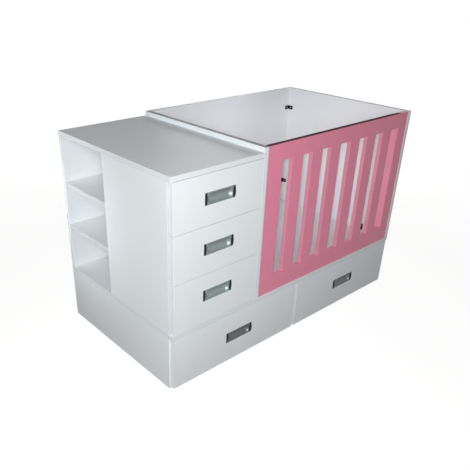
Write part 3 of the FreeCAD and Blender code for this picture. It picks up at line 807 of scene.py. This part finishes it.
def trim_piece(name, low, high):
    """An end piece whose face bows outward."""
    height = high.z - low.z
    radius = (height * height / 4 + PULL_BOW * PULL_BOW) / (2 * PULL_BOW)
    middle = Vector(((low.x + high.x) / 2, low.y + radius, (low.z + high.z) / 2))
    bpy.ops.object.select_all(action="DESELECT")
    bpy.ops.mesh.primitive_cylinder_add(
        vertices=TRIM_SIDES, radius=radius, depth=high.x - low.x,
        location=middle, rotation=(0, QUARTER_TURN, 0),
    )
    piece = bpy.context.active_object
    piece.name = name
    settle(piece)
    edit(piece)
    slice_at(Y_AXIS, high.y, clear_outer=True, use_fill=True)
    slice_at(Z_AXIS, low.z, clear_inner=True, use_fill=True)
    slice_at(Z_AXIS, high.z, clear_outer=True, use_fill=True)
    end_edit()
    soften(piece, TRIM_EDGE, segments=3)
    paint(piece, BLACK)
    smooth(piece, PULL_SMOOTH_ANGLE)
    return piece


def trim_pair(name, drawer, cup_low, cup_high):
    """The end pieces on both sides of a pull's cup."""
    low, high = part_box(f"{drawer}_pull_trims")
    left = trim_piece("pull_trim", low, Vector((cup_low.x, high.y, high.z)))
    right = trim_piece("pull_trim", Vector((cup_high.x, low.y, low.z)), high)
    return joined(name, [left, right])


# Drawers.


def drawer_front(drawer, cup_low, cup_high):
    """A front board with a blind pocket behind its pull."""
    node = f"{drawer}_front"
    low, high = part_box(node)
    piece = block(f"{node}_board", low, high)
    left = cup_low.x + POCKET_INSET
    right = cup_high.x - POCKET_INSET
    bottom = cup_low.z + POCKET_INSET
    top = cup_high.z - POCKET_INSET
    pocket_depth = cup_high.y - low.y + POCKET_AIR

    def is_pocket(face):
        middle = face.calc_center_median()
        return face.normal.y < -FACING and left < middle.x < right and bottom < middle.z < top

    edit(piece)
    for level in (bottom, top):
        slice_at(Z_AXIS, level)
    for side in (left, right):
        slice_at(X_AXIS, side)
    choose("FACE", is_pocket)
    bpy.ops.mesh.extrude_region_move(TRANSFORM_OT_translate={"value": (0, pocket_depth, 0)})
    end_edit()
    soften(piece, BOARD_EDGE)
    paint(piece, WHITE, WHITE_EDGE, Y_AXIS)
    mount(piece, drawer, "white_melamine", node)


def runner_channel(name, low, high, open_side):
    """A folded sheet channel along Y, open towards -1 or +1 in X."""
    piece = block(name, low, high)
    edit(piece)
    choose("FACE", lambda face: face.normal.x * open_side > FACING or abs(face.normal.y) > FACING)
    bpy.ops.mesh.delete(type="FACE")
    choose("EDGE", lambda edge: len(edge.link_faces) == 2)
    bpy.ops.mesh.bevel(offset=RUNNER_BEND, segments=3, affect="EDGES")
    end_edit()
    apply_modifier(piece, "SOLIDIFY", thickness=RUNNER_SHEET, offset=-1.0, use_even_offset=True)
    paint(piece, ZINC)
    smooth(piece)
    return piece


def solid_boxes(node):
    """The corners of each separate solid in a node, upwards, and from left to right at each height."""
    focus(frame["nodes"][node])
    bpy.ops.object.duplicate()
    edit(bpy.context.active_object)
    bpy.ops.mesh.select_all(action="SELECT")
    bpy.ops.mesh.remove_doubles(threshold=SOLID_WELD)
    bpy.ops.mesh.separate(type="LOOSE")
    end_edit()
    boxes = []
    for part in list(bpy.context.selected_objects):
        points = [vertex.co for vertex in part.data.vertices]
        low = Vector(min(point[axis] for point in points) for axis in range(3))
        high = Vector(max(point[axis] for point in points) for axis in range(3))
        boxes.append((low, high))
        bpy.data.objects.remove(part)
    return sorted(boxes, key=lambda corners: (corners[0].z, corners[0].x))


def runner_screws(low, high, web_face, outward):
    """Screws along a channel's web."""
    screws = []
    for share in RUNNER_SCREW_SHARES:
        seat = Vector((web_face, low.y + share * (high.y - low.y), (low.z + high.z) / 2))
        screws.append(driven(RUNNER_SCREW, "runner_screw", seat, (outward, 0, 0)))
    return screws


def runner_set(node, body, channel_name, screw_name, web_outside):
    """The channels of a node with their screws. The web is outermost or innermost, seen from the drawer."""
    channels = []
    screws = []
    boxes = solid_boxes(node)
    for number, (low, high) in enumerate(boxes):
        is_left = number % 2 == 0
        open_side = 1 if is_left == web_outside else -1
        channels.append(runner_channel("runner_channel", low, high, open_side))
        web_face = low.x + RUNNER_SHEET if open_side > 0 else high.x - RUNNER_SHEET
        screws += runner_screws(low, high, web_face, open_side)
    mount(joined(channel_name, channels), body, "runner_steel", node)
    mount(joined(screw_name, screws), body, "screw_steel")


def drawer_box(drawer):
    """A drawer's sides, back and bottom."""
    for number, (low, high) in enumerate(solid_boxes(f"{drawer}_sides")):
        word = ("left", "right")[number]
        piece = block(f"{drawer}_{word}_side_board", low, high)
        soften(piece, BOARD_EDGE)
        paint(piece, WHITE, WHITE_EDGE, X_AXIS)
        mount(piece, drawer, "white_melamine", f"{drawer}_sides")
    white_board(f"{drawer}_back", drawer)
    node = f"{drawer}_bottom"
    bottom = block(f"{node}_board", *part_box(node))
    soften(bottom, THIN_EDGE)
    paint(bottom, HARDBOARD)
    mount(bottom, drawer, "drawer_bottom_board", node)


def pull_screw_pair(drawer, cup_low, cup_high):
    """The two screws that hold the pull, seen inside the drawer."""
    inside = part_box(f"{drawer}_front")[1].y
    level = (cup_low.z + cup_high.z) / 2
    spread = (cup_high.x - cup_low.x) * PULL_SCREW_SHARE
    middle = (cup_low.x + cup_high.x) / 2
    screws = []
    for sign in (-1, 1):
        seat = Vector((middle + sign * spread, inside, level))
        screws.append(driven(PULL_SCREW, "pull_screw", seat, (0, 1, 0)))
    mount(joined(f"{drawer}_pull_screws", screws), drawer, "screw_steel")


first_cup_low, first_cup_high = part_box(f"{DRAWERS[0]}_pull_cup")
cup_pattern = cup_piece("pull_cup_pattern", first_cup_low, first_cup_high)
trim_pattern = trim_pair("pull_trim_pattern", DRAWERS[0], first_cup_low, first_cup_high)
for drawer in DRAWERS:
    cup_low, cup_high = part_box(f"{drawer}_pull_cup")
    shift = cup_low - first_cup_low
    cup = copied(cup_pattern, f"{drawer}_pull_dish", shift)
    # The base drawers' pulls take the darker copy of the aluminium: painted shade.
    if drawer.startswith("base"):
        paint(cup, SHADED_ALUMINIUM)
    mount(cup, drawer, "brushed_aluminium", f"{drawer}_pull_cup")
    trims = copied(trim_pattern, f"{drawer}_pull_end_pieces", shift)
    mount(trims, drawer, "black_plastic", f"{drawer}_pull_trims")
    drawer_front(drawer, cup_low, cup_high)
    drawer_box(drawer)
    pull_screw_pair(drawer, cup_low, cup_high)
    runner_set(
        f"{drawer}_runners", drawer,
        f"{drawer}_runner_channels", f"{drawer}_runner_screws", web_outside=False,
    )
for bay in ("chest", "base"):
    runner_set(
        f"{bay}_runner_rails", CABINET, f"{bay}_rail_channels", f"{bay}_rail_screws", web_outside=True
    )
for pattern in (cup_pattern, trim_pattern, BRACE_SCREW, RUNNER_SCREW, PULL_SCREW):
    bpy.data.objects.remove(pattern)

# Glued dowels stay as they are, inside the joints.
paint(frame["nodes"]["joint_dowels"], BEECH)


# Floor, light and camera.

FLOOR_SIZE = 160.0
FLOOR_COLOR = (0.22, 0.215, 0.205)
NEAR_REACH = 1.2  # metres from the middle of the object
FAR_REACH = 4.0
NEAR_GLOW = 0.88
FAR_GLOW = 1.02
SKY_COLOR = (0.02, 0.02, 0.021)


def shown_rays(tree):
    """One for camera rays, reflections and refractions, and zero for the rays that light the object."""
    path = add_node(tree, "ShaderNodeLightPath")
    seen = add_node(tree, "ShaderNodeMath", operation="MAXIMUM")
    shown = add_node(tree, "ShaderNodeMath", operation="MAXIMUM")
    tree.links.new(path.outputs["Is Camera Ray"], seen.inputs[0])
    tree.links.new(path.outputs["Is Glossy Ray"], seen.inputs[1])
    tree.links.new(seen.outputs[0], shown.inputs[0])
    tree.links.new(path.outputs["Is Transmission Ray"], shown.inputs[1])
    return shown.outputs[0]


def floor_finish():
    """A pale floor that glows where it is seen, more so far away, and takes the object's shadow."""
    material = bpy.data.materials.new("pale_floor")
    material.use_nodes = True
    tree = material.node_tree
    tree.nodes.remove(tree.nodes["Principled BSDF"])
    diffuse = add_node(tree, "ShaderNodeBsdfDiffuse", {"Color": (*FLOOR_COLOR, 1)})
    glow = add_node(tree, "ShaderNodeEmission")
    strength = add_node(tree, "ShaderNodeMath", operation="MULTIPLY")
    place = add_node(tree, "ShaderNodeTexCoord")
    distance = add_node(tree, "ShaderNodeVectorMath", operation="LENGTH")
    rise = {"From Min": NEAR_REACH, "From Max": FAR_REACH, "To Min": NEAR_GLOW, "To Max": FAR_GLOW}
    level = add_node(tree, "ShaderNodeMapRange", rise)
    both = add_node(tree, "ShaderNodeAddShader")
    tree.links.new(place.outputs["Object"], distance.inputs[0])
    tree.links.new(distance.outputs["Value"], level.inputs["Value"])
    tree.links.new(shown_rays(tree), strength.inputs[0])
    tree.links.new(level.outputs[0], strength.inputs[1])
    tree.links.new(strength.outputs[0], glow.inputs["Strength"])
    tree.links.new(diffuse.outputs[0], both.inputs[0])
    tree.links.new(glow.outputs[0], both.inputs[1])
    tree.links.new(both.outputs[0], tree.nodes["Material Output"].inputs["Surface"])
    return material


bpy.ops.object.select_all(action="DESELECT")
bpy.ops.mesh.primitive_plane_add(size=FLOOR_SIZE, location=(0, 0, 0))
floor = bpy.context.active_object
floor.name = "studio_floor"
paint(floor, floor_finish())


def studio_world():
    """Dim surroundings that light the object softly and are white where they are seen."""
    world = bpy.data.worlds.new("studio")
    bpy.context.scene.world = world
    world.use_nodes = True
    tree = world.node_tree
    shade = add_node(tree, "ShaderNodeMix", {"A": (*SKY_COLOR, 1), "B": (1, 1, 1, 1)}, data_type="RGBA")
    tree.links.new(shown_rays(tree), shade.inputs["Factor"])
    tree.links.new(shade.outputs["Result"], tree.nodes["Background"].inputs["Color"])


studio_world()


def soft_lamp(name, place, target, size, power, spread=180, color=(1, 1, 1)):
    """A round lamp that shines from a place towards a target, in a cone of so many degrees."""
    bpy.ops.object.light_add(type="AREA", location=place)
    lamp = bpy.context.active_object
    lamp.name = name
    lamp.data.shape = "DISK"
    lamp.data.size = size
    lamp.data.energy = power
    lamp.data.color = color
    lamp.data.spread = math.radians(spread)
    lamp.visible_camera = False
    aim = Vector(target) - Vector(place)
    lamp.rotation_mode = "QUATERNION"
    lamp.rotation_quaternion = aim.to_track_quat("-Z", "Y")


COOL = (0.93, 0.97, 1.0)
BLUSH = (1.0, 0.94, 0.95)  # light that the pink rail sends back into the crib
soft_lamp("flash", (-1.666, -1.607, 1.391), (-0.1, -0.3, 0.5), size=0.03, power=15, spread=140)
soft_lamp("room_lamp", (-2.5, -2.9, 1.9), (0.0, 0.0, 0.4), size=1.2, power=65, color=COOL)
soft_lamp(
    "crib_lamp", (0.35, -0.05, 2.3), (0.35, -0.05, 0.3), size=0.5, power=0.22, spread=50, color=COOL
)
soft_lamp(
    "end_wall_lamp", (-0.12, -0.05, 0.60), (0.65, 0.0, 0.52), size=0.3, power=0.30, spread=68, color=BLUSH
)
soft_lamp(
    "back_wall_lamp", (0.2, -0.22, 1.0), (0.2, 0.33, 0.60), size=0.2, power=0.21, spread=80, color=COOL
)
soft_lamp("side_lamp", (-3.0, 0.2, 0.9), (0.0, 0.0, 0.4), size=1.5, power=8, color=COOL)
soft_lamp("niche_lamp", (-1.9, 0.5, 0.9), (-0.4, 0.22, 0.5), size=0.4, power=0.5, spread=34, color=COOL)
soft_lamp("rear_lamp", (2.4, 2.6, 1.2), (0.2, 0.0, 0.5), size=1.5, power=16)
soft_lamp("low_rear_lamp", (2.2, 2.5, 0.45), (0.2, 0.0, 0.4), size=0.7, power=50)

# The camera, fitted to the photograph's corners.
CAMERA_PLACE = (-1.651, -1.620, 1.381)
CAMERA_YAW = -0.7157
CAMERA_PITCH = -0.5031
CAMERA_ROLL = 0.0152
CAMERA_LENS = 42.56
CAMERA_SHIFT = (0.0762, 0.0840)
CAMERA_SENSOR = 36
CAMERA_REACH = 400

bpy.ops.object.camera_add(location=CAMERA_PLACE)
camera = bpy.context.active_object
heading = Euler((QUARTER_TURN + CAMERA_PITCH, 0, CAMERA_YAW)).to_matrix()
camera.rotation_euler = (heading @ Matrix.Rotation(CAMERA_ROLL, 3, "Z")).to_euler()
camera.data.sensor_width = CAMERA_SENSOR
camera.data.lens = CAMERA_LENS
camera.data.shift_x, camera.data.shift_y = CAMERA_SHIFT
camera.data.clip_end = CAMERA_REACH
bpy.context.scene.camera = camera
bpy.context.scene.view_settings.view_transform = "Standard"
